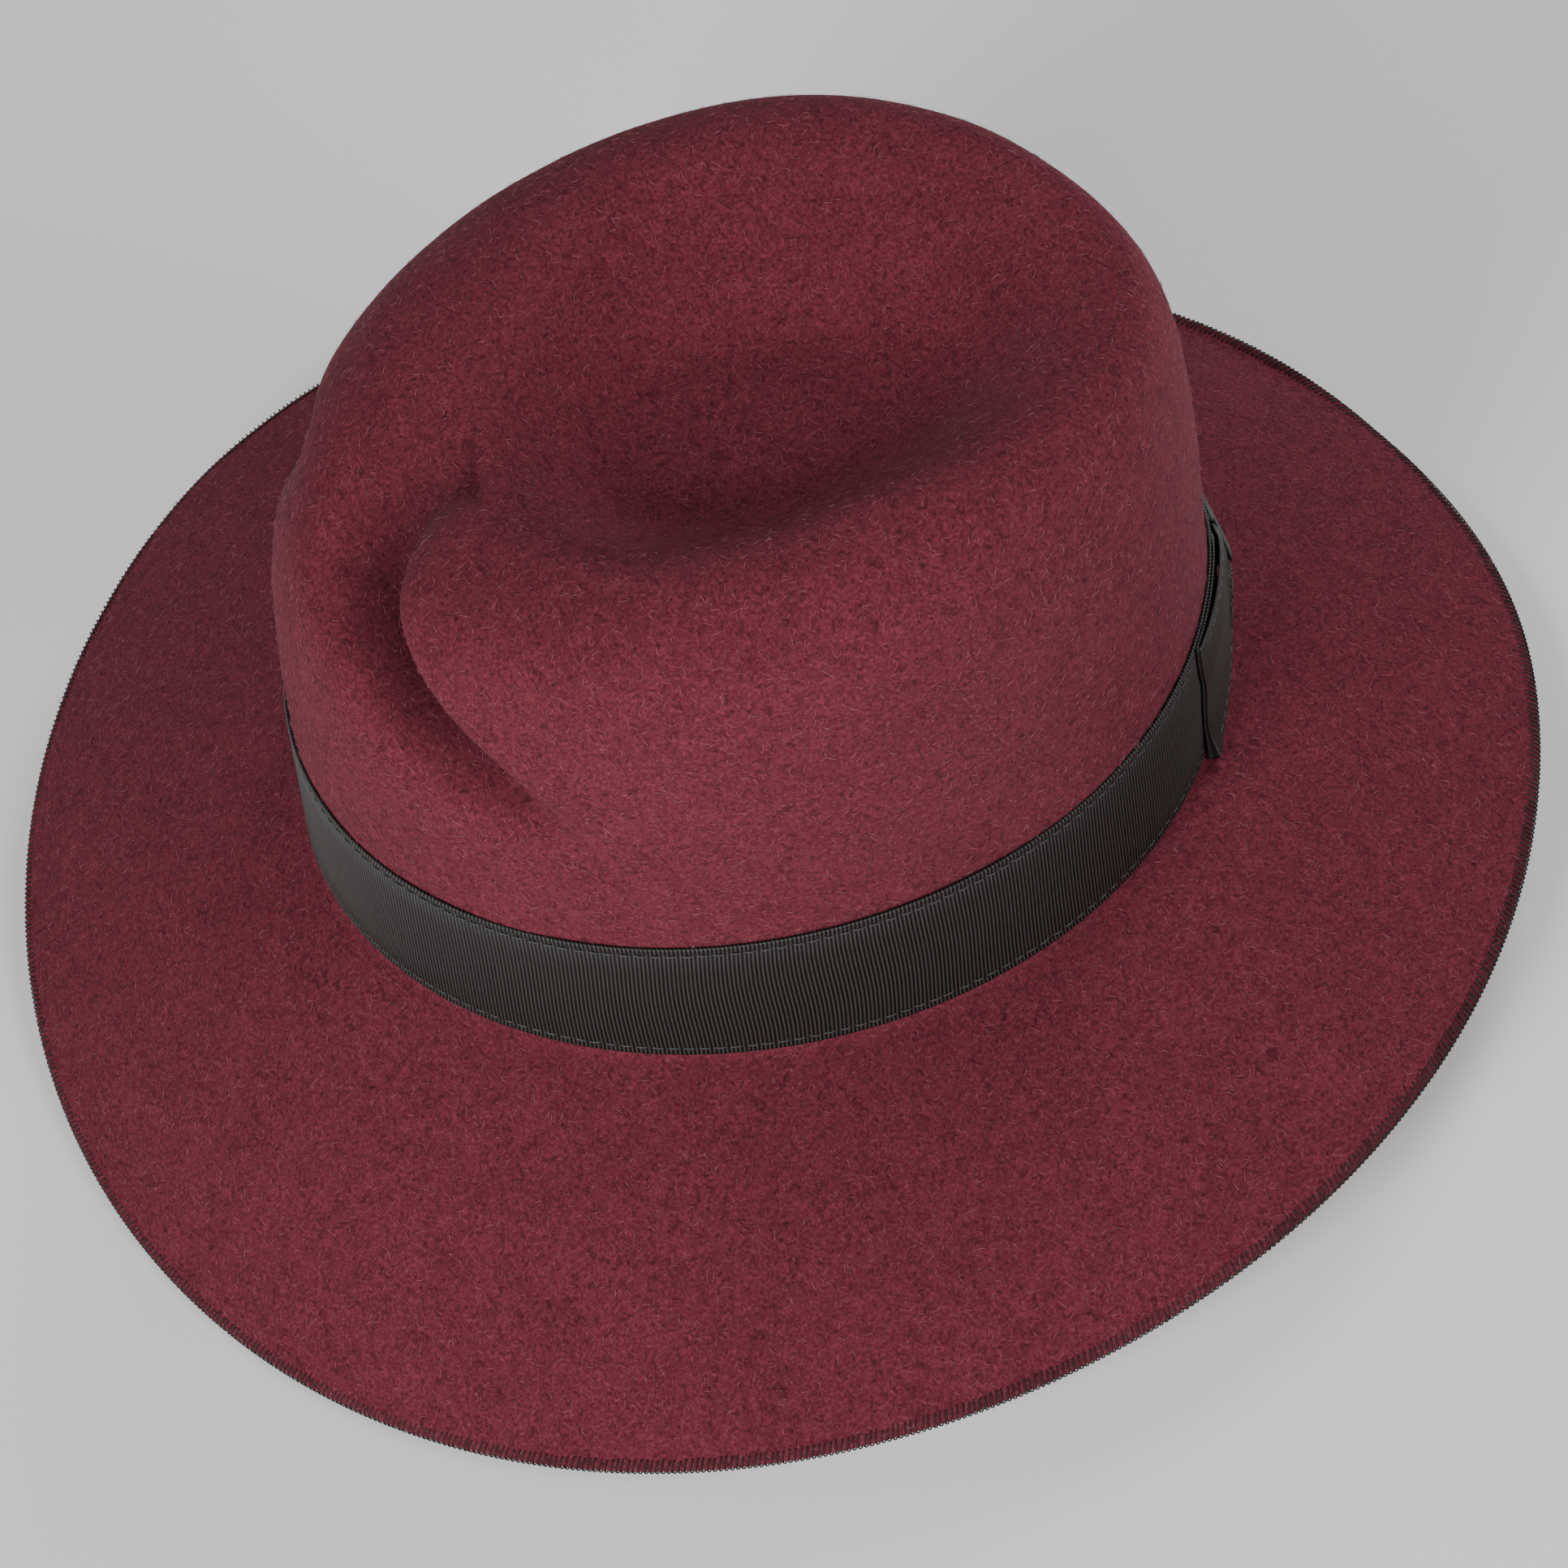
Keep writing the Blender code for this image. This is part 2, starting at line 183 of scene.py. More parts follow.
# Lines along the band: share of the ribbon's width, height of the ribs there as a share of
# RIB_HEIGHT, and how far the face stands out there as a share of SELVEDGE_STEP
BandLine = namedtuple("BandLine", "share rib out")
BAND_LINES = (
    BandLine(0, 0.3, 0),
    BandLine(0.012, 1.3, 0.1),
    BandLine(0.03, 1.0, 0),
    BandLine(0.055, 0.1, -1.2),
    BandLine(0.07, 0.8, -0.2),
    BandLine(0.2, 1, 0),
    BandLine(0.35, 1, 0),
    BandLine(0.5, 1, 0),
    BandLine(0.65, 1, 0),
    BandLine(0.8, 1, 0),
    BandLine(0.93, 0.8, -0.2),
    BandLine(0.945, 0.1, -1.2),
    BandLine(0.97, 1.0, 0),
    BandLine(0.988, 1.3, 0.1),
    BandLine(1, 0.3, 0),
)

# The same for the bow, whose face stands out nowhere
BowLine = namedtuple("BowLine", "share rib")
BOW_LINES = (
    BowLine(0, 0.3),
    BowLine(0.015, 1.3),
    BowLine(0.035, 1),
    BowLine(0.06, 0.1),
    BowLine(0.08, 0.8),
    BowLine(0.16, 1),
    BowLine(0.26, 1),
    BowLine(0.38, 1),
    BowLine(0.5, 1),
    BowLine(0.62, 1),
    BowLine(0.74, 1),
    BowLine(0.84, 1),
    BowLine(0.92, 0.8),
    BowLine(0.94, 0.1),
    BowLine(0.965, 1),
    BowLine(0.985, 1.3),
    BowLine(1, 0.3),
)

# One loop of the edge thread, from the upper face round the edge to the lower one: how far in, as
# shares of the loop's depth and of its half height, and how high as a share of its half height
LoopPoint = namedtuple("LoopPoint", "inward back over")
LOOP_POINTS = (
    LoopPoint(1.0, 0, 0.85),
    LoopPoint(0.6, 0, 1.0),
    LoopPoint(0.2, 0, 1.0),
    LoopPoint(0, -0.4, 0.95),
    LoopPoint(0, -1, 0.45),
    LoopPoint(0, -1, -0.45),
    LoopPoint(0, -0.4, -0.95),
    LoopPoint(0.2, 0, -1.0),
    LoopPoint(0.6, 0, -1.0),
    LoopPoint(1.0, 0, -0.85),
)

FOOT_Y = HEAD_LENGTH / 2 + FELT
FOOT_X = HEAD_WIDTH / 2 + FELT
BAND_FOOT = BREAK_RADIUS * (1 - math.sqrt(RIBBON_GAP / BREAK_RADIUS)) ** 2 + RIBBON_GAP
RIM = 1 - EDGE_ROOM / BRIM_WIDTH
random = np.random.default_rng(SEED)


def column_azimuths(count=COLUMNS):
    turn = np.linspace(-np.pi, np.pi, count, endpoint=False)
    return turn + FRONT_CROWDING * np.sin(turn)


def round_column(rows, column, azimuth):
    """A column of an even table read at any azimuth, on a smooth wave through its rows."""
    angles = np.radians([row.azimuth for row in rows])
    values = np.array([getattr(row, column) for row in rows])
    waves = np.arange(len(rows) // 2 + 1)

    def basis(angle):
        turns = np.multiply.outer(angle, waves)
        return np.concatenate([np.cos(turns), np.sin(turns)], axis=-1)

    weights = np.linalg.lstsq(basis(angles), values, rcond=None)[0]
    return basis(azimuth) @ weights


def graded_column(rows, column, place):
    """A column of the dents' table read at any place, on a smooth curve through its rows."""
    places = np.array([row.place for row in rows])[::-1]
    values = np.array([getattr(row, column) for row in rows])[::-1]
    slopes = np.gradient(values, places)
    place = np.clip(place, places[0], places[-1])
    cell = np.clip(np.searchsorted(places, place) - 1, 0, len(places) - 2)
    span = places[cell + 1] - places[cell]
    part = (place - places[cell]) / span
    return (
        values[cell] * (1 + 2 * part) * (1 - part) ** 2
        + slopes[cell] * span * part * (1 - part) ** 2
        + values[cell + 1] * part**2 * (3 - 2 * part)
        - slopes[cell + 1] * span * part**2 * (1 - part)
    )


def surface_normals(points):
    """Unit outward normals of a grid, first index round and second inward."""
    along = np.roll(points, -1, axis=0) - np.roll(points, 1, axis=0)
    normals = np.cross(np.gradient(points, axis=1), along)
    return normals / np.maximum(np.linalg.norm(normals, axis=-1, keepdims=True), 1e-12)


def foot_radius(azimuth):
    oval = 1 / np.hypot(np.sin(azimuth) / FOOT_X, np.cos(azimuth) / FOOT_Y)
    return oval + BACK_FULLNESS * np.clip(np.cos(azimuth), 0, 1) ** BACK_NARROWNESS


def foot_points(azimuths):
    radius = foot_radius(azimuths)
    return np.stack([radius * np.sin(azimuths), radius * np.cos(azimuths), 0 * azimuths], axis=-1)


def foot_normals(azimuths):
    normals = foot_points(azimuths) / np.array([FOOT_X**2, FOOT_Y**2, 1.0])
    return normals / np.linalg.norm(normals, axis=-1, keepdims=True)


def crown_point(azimuth, place):
    """The crown before it is pinched: place 0 is the foot, 1 the ridge, 2 the crease's middle."""
    foot = foot_radius(azimuth)
    ridge = foot * round_column(RIDGE_ROWS, "reach", azimuth)
    top = CROWN_HEIGHT * round_column(RIDGE_ROWS, "height", azimuth)
    rise = np.clip(place, 0, 1)
    wall = (1 - CROWN_TAPER * rise) * np.sqrt(1 - rise**SHOULDER_SQUARENESS)
    inward = np.clip(place - 1, 0, 1)
    radius = (ridge + (foot - ridge) * wall) * (1 - inward)
    sink = 0.5 - 0.5 * np.cos(np.pi * np.minimum(inward / (1 - CREASE_FLAT), 1))
    height = top * rise - (top - CROWN_HEIGHT + CREASE_DEPTH) * sink
    return np.stack([radius * np.sin(azimuth), radius * np.cos(azimuth), height], axis=-1)


def dent_depth(azimuth, place, radius):
    total = 0 * radius
    for dent in DENT_SIDES:
        turn = np.mod(2 * np.pi - dent.side * azimuth, 2 * np.pi) - np.pi
        middle = np.radians(graded_column(DENT_ROWS, "turn", place + dent.drop) + dent.turn)
        across = (turn - middle) * radius
        spread = np.where(across > 0, DENT_REAR_SPREAD, DENT_FRONT_SPREAD)
        depth = DENT_DEPTH * dent.depth * graded_column(DENT_ROWS, "depth", place + dent.drop)
        total = total + depth * np.exp(-((across / spread) ** 2))
    return total


def crown_places():
    """Places along the crown's section, evenly spaced along its length at the side."""
    rise = 1 - np.linspace(1, 0, FINE_STEPS) ** 3
    fine = np.concatenate([rise, np.linspace(1, 2, FINE_STEPS)[1:]])
    section = crown_point(np.full(len(fine), np.pi / 2), fine)
    length = np.concatenate([[0], np.cumsum(np.linalg.norm(np.diff(section, axis=0), axis=1))])
    foot = np.interp(BREAK_RADIUS, section[:, 2], length)
    ridge = np.interp(1, fine, length)
    wall = np.interp(np.linspace(foot, ridge, WALL_RINGS), length, fine)
    crease = np.interp(np.linspace(ridge, length[-1], CREASE_RINGS + 1)[1:-1], length, fine)
    return np.concatenate([wall, crease])


def crown_rings(azimuths):
    """The pinched crown's rings, and how deep each of their points is pinched."""
    azimuth, place = np.meshgrid(azimuths, crown_places(), indexing="ij")
    plain = crown_point(azimuth, place)
    depth = dent_depth(azimuth, place, np.hypot(plain[..., 0], plain[..., 1]))
    dip = DENT_DIP * np.clip(place, 0, 1) ** 4
    inward = -foot_normals(azimuth) * np.cos(dip)[..., None]
    inward[..., 2] = -np.sin(dip)
    return plain + inward * depth[..., None], depth


def stand(points):
    """Lean the crown back and lift it from its own frame to its place above the floor."""
    x, y, z = np.moveaxis(np.asarray(points), -1, 0)
    cos, sin = math.cos(CROWN_LEAN), math.sin(CROWN_LEAN)
    return np.stack([x, y * cos + z * sin, z * cos - y * sin + BRIM_DROP + FELT], axis=-1)


def brim_point(azimuths, share):
    """The brim's upper face: share 0 is the break, 1 the edge."""
    foot = stand(foot_points(azimuths))
    reach = BRIM_WIDTH * round_column(BRIM_ROWS, "reach", azimuths)
    every = round_column(BRIM_ROWS, "lift", column_azimuths())
    lift = round_column(BRIM_ROWS, "lift", azimuths) - every.min()
    edge_height = FELT + EDGE_LIFT * lift - EDGE_REST
    drop = (1 - BRIM_ROLL) * share + BRIM_ROLL * share**2
    points = foot + foot_normals(azimuths) * (reach * share)[..., None]
    points[..., 2] = foot[..., 2] + (edge_height - foot[..., 2]) * drop
    points[..., 2] = np.maximum(points[..., 2], FELT)
    return points


def unevenness(points):
    """A slow, slight waver of the felt, as a height at each point."""
    source = np.random.default_rng(SEED)
    total = 0
    for length in np.geomspace(0.018, 0.09, 22):
        direction = source.normal(size=3)
        direction *= 2 * np.pi / length / np.linalg.norm(direction)
        total = total + np.cos(points @ direction + source.uniform(0, 2 * np.pi)) * length**0.5
    return UNEVENNESS * total / np.sqrt((total**2).mean()) * 0.7


def felt_grids():
    """The felt's upper and lower faces as grids from the brim's edge to the crease's middle.

    With them come the upper face's normals, and the share of DENT_DEPTH at its points.
    """
    azimuths = column_azimuths()
    start = BREAK_RADIUS / BRIM_WIDTH
    shares = np.linspace(RIM, start, BRIM_RINGS)
    brim = np.stack([brim_point(azimuths, np.full(COLUMNS, s)) for s in shares], axis=1)
    rings, depth = crown_rings(azimuths)
    crown = stand(rings)
    painted_dent_shade = np.zeros((COLUMNS, BRIM_RINGS + BREAK_RINGS + rings.shape[1]))
    # Share of the dent depth at each point, kept for the painted shade that darkens the felt in the
    # dents
    painted_dent_shade[:, -rings.shape[1] :] = depth / DENT_DEPTH
    corner = stand(foot_points(azimuths))
    steps = np.linspace(0, 1, BREAK_RINGS + 2)[1:-1]
    breaks = [
        brim[:, -1] * (1 - t) ** 2 + corner * 2 * t * (1 - t) + crown[:, 0] * t**2 for t in steps
    ]
    upper = np.concatenate([brim, np.stack(breaks, axis=1), crown], axis=1)
    normals = surface_normals(upper)
    upper = upper + normals * unevenness(upper)[..., None]
    lower = upper - normals * FELT
    lower[..., 2] = np.maximum(lower[..., 2], 0)
    return upper, lower, normals, painted_dent_shade


def wall_offset(azimuth, height, offset):
    """Points at a height above the crown's foot and an offset out from its wall."""
    top = CROWN_HEIGHT * round_column(RIDGE_ROWS, "height", azimuth)
    return crown_point(azimuth, height / top) + foot_normals(azimuth) * np.asarray(offset)[..., None]


def on_band(place, height, offset):
    """Points at places along the band, heights above the crown's foot and offsets from the band."""
    return stand(wall_offset(place / FOOT_Y, height, RIBBON_GAP + RIBBON + offset))


def in_plan(points):
    return np.asarray(points) - np.array([*PLAN_MIDDLE, 0])


def quads(columns, rows, round_columns=True, round_rows=False):
    """Corner indices of the quads over a grid of vertices."""
    i = np.arange(columns if round_columns else columns - 1)
    j = np.arange(rows if round_rows else rows - 1)
    i, j = (a.ravel() for a in np.meshgrid(i, j, indexing="ij"))
    near, far, up = i * rows, (i + 1) % columns * rows, (j + 1) % rows
    return np.stack([near + j, near + up, far + up, far + j], axis=1)


def add_piece(name, points, faces, material, replaced=()):
    mesh = bpy.data.meshes.new(name)
    mesh.from_pydata(in_plan(points).reshape(-1, 3).tolist(), [], [list(f) for f in faces])
    mesh.validate()
    mesh.shade_smooth()
    mesh.materials.append(material)
    piece = bpy.data.objects.new(name, mesh)
    bpy.context.scene.collection.objects.link(piece)
    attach(piece, "root")
    for node in replaced:
        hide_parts(node)
    return piece


def make_felt(material):
    """The felt shell, closed round the brim's edge, with its hair and with painted shade where the
    dents are pinched.
    """
    upper, lower, normals, painted_dent_shade = felt_grids()
    outward = surface_normals(upper)[:, 0]
    edge_out = np.cross(np.roll(upper[:, 0], -1, axis=0) - np.roll(upper[:, 0], 1, axis=0), outward)
    edge_out *= np.sign((edge_out * foot_normals(column_azimuths())).sum(-1))[:, None]
    edge_out /= np.linalg.norm(edge_out, axis=-1, keepdims=True)
    middle = (upper[:, 0] + lower[:, 0]) / 2
    half = (upper[:, 0] - lower[:, 0]) / 2
    arcs = [
        middle + half * math.cos(a) + edge_out * FELT / 2 * math.sin(a)
        for a in np.linspace(0, np.pi, 7)[1:-1]
    ]
    grid = np.concatenate([upper[:, ::-1], np.stack(arcs, axis=1), lower], axis=1)
    rows = grid.shape[1]
    tip = upper[:, -1].mean(axis=0)
    tip_below = lower[:, -1].mean(axis=0)
    points = np.concatenate([grid.reshape(-1, 3), [tip, tip_below]])
    faces = quads(COLUMNS, rows).tolist()
    first, last = COLUMNS * rows, COLUMNS * rows + 1
    for i in range(COLUMNS):
        j = (i + 1) % COLUMNS
        faces.append((first, i * rows, j * rows))
        faces.append((last, j * rows + rows - 1, i * rows + rows - 1))
    make_hair("felt_hair", upper, normals, HAIRS, material["hair"])
    make_hair("felt_hair_dark", upper, normals, HAIRS // 2, material["dark_hair"])
    shell = add_piece("felt_shell", points, faces, material["felt"], ["felt_body"])
    # Painted shade: the dents' depth is stored on the shell, and the finish darkens the felt by it
    tone = np.zeros((COLUMNS, rows), dtype=np.float32)
    tone[:, : painted_dent_shade.shape[1]] = painted_dent_shade[:, ::-1]
    layer = shell.data.attributes.new(DENT_SHADE_ATTRIBUTE, "FLOAT", "POINT")
    layer.data.foreach_set("value", np.append(tone.ravel(), [0, 0]).astype(np.float32))


def make_hair(name, upper, normals, count, material):
    """Short fibres lying on the felt's upper face, each a closed curved spindle."""
    cells = upper[:, :-1]
    size = np.linalg.norm(
        np.cross(np.roll(upper, -1, axis=0)[:, :-1] - cells, upper[:, 1:] - cells), axis=-1
    )
    chosen = random.choice(size.size, count, p=(size / size.sum()).ravel())
    i, j = np.unravel_index(chosen, size.shape)
    u, v = random.random((2, count, 1))
    i2 = (i + 1) % COLUMNS

    def blend(grid):
        near = grid[i, j] * (1 - v) + grid[i, j + 1] * v
        far = grid[i2, j] * (1 - v) + grid[i2, j + 1] * v
        return near * (1 - u) + far * u

    base, normal = blend(upper), blend(normals)
    aim = random.normal(size=(count, 3))
    aim -= normal * (aim * normal).sum(-1, keepdims=True)
    aim /= np.linalg.norm(aim, axis=-1, keepdims=True)
    side = np.cross(normal, aim)
    length = HAIR_LENGTH * random.uniform(0.5, 1.5, (count, 1))
    curl = random.normal(0, HAIR_CURL, (count, 1))
    lift = random.uniform(*HAIR_LIFT, (count, 1))
    line = []
    for t in (0.0, 0.33, 0.67, 1.0):
        bend = curl * t
        along = length * t * (aim * np.cos(bend / 2) + side * np.sin(bend / 2))
        rise = lift * (0.3 + math.sin(math.pi * min(t + 0.12, 1)) * 1.2)
        line.append(base + along + normal * rise)
    radius = HAIR_RADIUS * random.uniform(0.7, 1.3, (count, 1))
    points = [line[0]]
    for middle in line[1:3]:
        for angle in HAIR_CORNERS:
            points.append(middle + radius * (side * math.cos(angle) + normal * math.sin(angle)))
    points.append(line[3])
    points = np.stack(points, axis=1)
    sides = [(1 + k, 1 + (k + 1) % 3) for k in range(3)]
    spindle = [(0, b, a) for a, b in sides] + [(7, a + 3, b + 3) for a, b in sides]
    for a, b in sides:
        spindle += [(a, b, b + 3), (a, b + 3, a + 3)]
    faces = (np.arange(count)[:, None, None] * 8 + np.array(spindle)).reshape(-1, 3).tolist()
    add_piece(name, points, faces, material)


def tube_grid(line, radius, sides=6, close=False):
    """Rings of a round thread along a line, with the normals carried along it."""
    line = np.asarray(line)
    if close:
        ahead = np.roll(line, -1, axis=0) - np.roll(line, 1, axis=0)
    else:
        ahead = np.gradient(line, axis=0)
    ahead /= np.linalg.norm(ahead, axis=-1, keepdims=True)
    side = np.cross(ahead, [0.0, 0.0, 1.0])
    side /= np.maximum(np.linalg.norm(side, axis=-1, keepdims=True), 1e-9)
    over = np.cross(side, ahead)
    turns = np.linspace(0, 2 * np.pi, sides, endpoint=False)
    radius = np.broadcast_to(radius, len(line))[:, None, None]
    ring = side[:, None] * np.cos(turns)[:, None] + over[:, None] * np.sin(turns)[:, None]
    return line[:, None] + ring * radius


def join_tubes(lines, radii, sides=6):
    """Vertices and faces of many short closed threads."""
    points, faces, start = [], [], 0
    for line, radius in zip(lines, radii):
        grid = tube_grid(line, radius, sides)
        count = len(grid)
        points.append(grid.reshape(-1, 3))
        faces += (quads(count, sides, round_columns=False, round_rows=True) + start).tolist()
        faces.append([start + k for k in range(sides)][::-1])
        faces.append([start + (count - 1) * sides + k for k in range(sides)])
        start += count * sides
    return np.concatenate(points), faces


def rib_wave(count):
    """The ribs' wave at each of a row of steps along a ribbon: 1 on a rib, -1 between two."""
    return np.cos(2 * np.pi * np.arange(count) / RIB_STEPS)


def paint_rib_sheen_and_shade(piece, wave, rows):
    """Give each point of a ribbon's grid its place on the ribs, which the finish reads to paint sheen
    on the ribs and shade between them.
    """
    tone = np.repeat(0.5 + 0.5 * wave, rows).astype(np.float32)
    layer = piece.data.attributes.new(RIB_SHEEN_AND_SHADE, "FLOAT", "POINT")
    layer.data.foreach_set("value", tone)


def band_sway(azimuth, height):
    """How far the ribs wander along the band at a height, in whole waves round the crown."""
    up = height / RIBBON_WIDTH
    return RIB_SWAY * (
        np.sin(2 * np.pi * up * 0.9 + 4 * azimuth) * np.sin(2 * azimuth + 1.3)
        + 0.6 * np.sin(2 * np.pi * up * 0.5 + azimuth)
    )


def make_band(material):
    """The ribbed ribbon round the foot of the crown."""
    turns = np.linspace(-np.pi, np.pi, 2001)
    loop = wall_offset(turns, np.full(len(turns), RIBBON_WIDTH / 2), np.full(len(turns), RIBBON))
    length = np.concatenate([[0], np.cumsum(np.linalg.norm(np.diff(loop, axis=0), axis=1))])
    count = int(length[-1] / RIB_PITCH)
    columns = count * RIB_STEPS
    distance = np.arange(columns) / columns * length[-1]
    azimuth = np.interp(distance, length, turns)
    rib = RIB_HEIGHT * rib_wave(columns)
    rings = []
    for edge in (RIBBON_WIDTH, 0):
        height, offset = np.full(columns, BAND_FOOT + edge), np.full(columns, BAND_BACK)
        rings.append(stand(wall_offset(azimuth, height, offset)))
    for line in BAND_LINES:
        height = BAND_FOOT + RIBBON_WIDTH * line.share
        moved = azimuth + band_sway(azimuth, height - BAND_FOOT) / FOOT_Y
        offset = RIBBON_GAP + RIBBON + rib * line.rib + line.out * SELVEDGE_STEP
        rings.append(stand(wall_offset(moved, np.full(columns, height), offset)))
    grid = np.stack(rings, axis=1)
    faces = quads(columns, grid.shape[1], round_rows=True).tolist()
    band = add_piece("ribbon_band", grid, faces, material, ["hat_band"])
    paint_rib_sheen_and_shade(band, rib_wave(columns), grid.shape[1])
    return band


def pinch(place, reach=BOW_PINCH_REACH):
    return np.exp(-(((place - BOW_PLACE) / reach) ** 4))


def bow_height(place, share):
    held = pinch(place)
    middle = BAND_FOOT + RIBBON_WIDTH / 2 + KNOT_RISE * held
    return middle + RIBBON_WIDTH * (share - 0.5) * (1 - BOW_PINCH * held)


def bow_reach(share):
    waist = np.exp(-(((share - 0.6) / 0.16) ** 2))
    return BOW_LENGTH / 2 - BOW_WAIST * waist


def bow_back(place, share):
    return BOW_GAP + RIBBON / 2 + 0 * place


def bow_front(place, share):
    """Offset of the front layer: puffed, gathered at the knot and flared at its lower corners."""
    away = np.abs(place - BOW_PLACE) / (BOW_LENGTH / 2)
    puff = BOW_PUFF * np.sin(np.pi * np.clip(away, 0, 1)) ** 0.7
    lift = BOW_FOOT_LIFT * (1 - share) * pinch(place)
    gather = np.exp(-(((place - BOW_PLACE) / PLEAT_REACH) ** 2))
    pleat = PLEAT * gather * (1 + np.cos(2 * np.pi * PLEAT_COUNT * share))
    flare = BOW_FLARE * np.clip(away, 0, 1) ** 6 * np.clip(1 - share / 0.28, 0, 1) ** 1.5
    return bow_back(place, share) + RIBBON + BOW_GAP + puff + lift + pleat + flare


def bow_line(share, steps):
    """The bow's closed loop at a share of its width: place and offset, and its own length."""
    reach = bow_reach(share)
    places = BOW_PLACE + np.linspace(reach, -reach, steps)
    front = np.stack([places, bow_front(places, share)], axis=-1)
    back = np.stack([places[::-1], bow_back(places[::-1], share)], axis=-1)
    ends = []
    for start, end, way in ((front[-1], back[0], -1), (back[-1], front[0], 1)):
        middle, half = (start + end) / 2, (end - start) / 2
        turns = np.linspace(0, np.pi, 8)[1:-1]
        bulge = np.maximum(abs(half[1]) * 0.9, 0.0003)
        ends.append(
            np.stack(
                [middle[0] + way * bulge * np.sin(turns), middle[1] - half[1] * np.cos(turns)],
                axis=-1,
            )
        )
    return np.concatenate([front, ends[0], back, ends[1]])


def make_bow(material):
    """The flat bow: one closed loop of ribbed ribbon, gathered at the knot."""
    steps = int(BOW_LENGTH / RIB_PITCH * RIB_STEPS)
    outer, inner = [], []
    for share, amount in BOW_LINES:
        line = bow_line(share, steps)
        ahead = np.roll(line, -1, axis=0) - np.roll(line, 1, axis=0)
        across = np.stack([-ahead[:, 1], ahead[:, 0]], axis=-1)
        across /= np.maximum(np.linalg.norm(across, axis=1, keepdims=True), 1e-9)
        wave = RIB_HEIGHT * 0.8 * amount * rib_wave(len(line))
        across *= np.sign(across[steps // 2, 1])
        for faces, face in (
            (outer, line + across * (RIBBON / 2 + wave[:, None])),
            (inner, line - across * RIBBON / 2),
        ):
            faces.append(on_band(face[:, 0], bow_height(face[:, 0], share), face[:, 1]))
    grid = np.stack(outer + inner[::-1], axis=1)
    faces = quads(grid.shape[0], grid.shape[1], round_rows=True).tolist()
    bow = add_piece("bow_loop", grid, faces, material, ["ribbon_bow"])
    paint_rib_sheen_and_shade(bow, rib_wave(grid.shape[0]), grid.shape[1])
    return bow


def knot_path(place):
    """The middle of the knot's strip at a place: heights and offsets from top to foot."""
    out = RIBBON + BOW_GAP
    top, foot = bow_height(place, 1) + out, bow_height(place, 0) - out
    top_front, foot_front = bow_front(place, 1) + out, bow_front(place, 0) + out
    turns = np.linspace(0, np.pi / 2, 6)
    upper = np.stack(
        [
            top - KNOT_ROUND * (1 - np.cos(turns)),
            top_front - KNOT_ROUND * (1 - np.sin(turns)),
        ],
        axis=-1,
    )
    lower = np.stack(
        [
            foot + KNOT_ROUND * (1 - np.sin(turns)),
            foot_front - KNOT_ROUND * (1 - np.cos(turns)),
        ],
        axis=-1,
    )
    return np.concatenate([[[top, RIBBON / 2]], upper, lower, [[foot, RIBBON / 2]]])


def make_knot(material):
    """The ribbed strip wrapped over the middle of the bow."""
    columns = []
    for share in np.linspace(0, 1, KNOT_COLUMNS):
        place = BOW_PLACE + KNOT_WIDTH * (share - 0.5)
        path = knot_path(place)
        length = np.concatenate([[0], np.cumsum(np.linalg.norm(np.diff(path, axis=0), axis=1))])
        count = KNOT_RIBS * RIB_STEPS
        at = np.linspace(0, length[-1], count)
        line = np.stack([np.interp(at, length, path[:, k]) for k in (0, 1)], axis=-1)
        ahead = np.gradient(line, axis=0)
        across = np.stack([ahead[:, 1], -ahead[:, 0]], axis=-1)
        across /= np.maximum(np.linalg.norm(across, axis=1, keepdims=True), 1e-9)
        across *= np.sign(across[count // 2, 1])
        bulge = KNOT_BULGE * math.sin(math.pi * share)
        edge = 0.3 if share in (0, 1) else 1
        wave = RIB_HEIGHT * edge * rib_wave(count)
        outer = line + across * (RIBBON / 2 + bulge + wave[:, None])
        inner = line - across * RIBBON / 2
        section = np.concatenate([outer, inner[::-1]])
        columns.append(on_band(np.full(len(section), place), section[:, 0], section[:, 1]))
    grid = np.array(columns)
    rows = grid.shape[1]
    faces = quads(len(columns), rows, round_columns=False, round_rows=True).tolist()
    half = rows // 2
    for start in (0, (len(columns) - 1) * rows):
        for j in range(half - 1):
            k = start + j
            faces.append((k, k + 1, start + rows - 2 - j, start + rows - 1 - j))
    knot = add_piece("bow_wrap", grid, faces, material, ["bow_knot"])
    wave = rib_wave(half)
    paint_rib_sheen_and_shade(knot, np.tile(np.concatenate([wave, wave[::-1]]), len(columns)), 1)
    return knot


def stitch_lines(place_of, count, pitch):
    """Running stitches: short threads that rise from the ribbon and sink again."""
    lines = []
    for index in range(count):
        start = index * pitch + random.normal(0, 0.00012)
        steps = np.linspace(0, 1, 8)
        at = start + STITCH_LENGTH * random.uniform(0.88, 1.08) * steps
        rise = np.sin(np.pi * steps) ** 0.5 * STITCH_THREAD * 1.1 - STITCH_THREAD * 0.7
        slant = random.normal(0, 0.00009) * (steps - 0.5) * 2
        lines.append(place_of(at, rise, slant))
    return lines


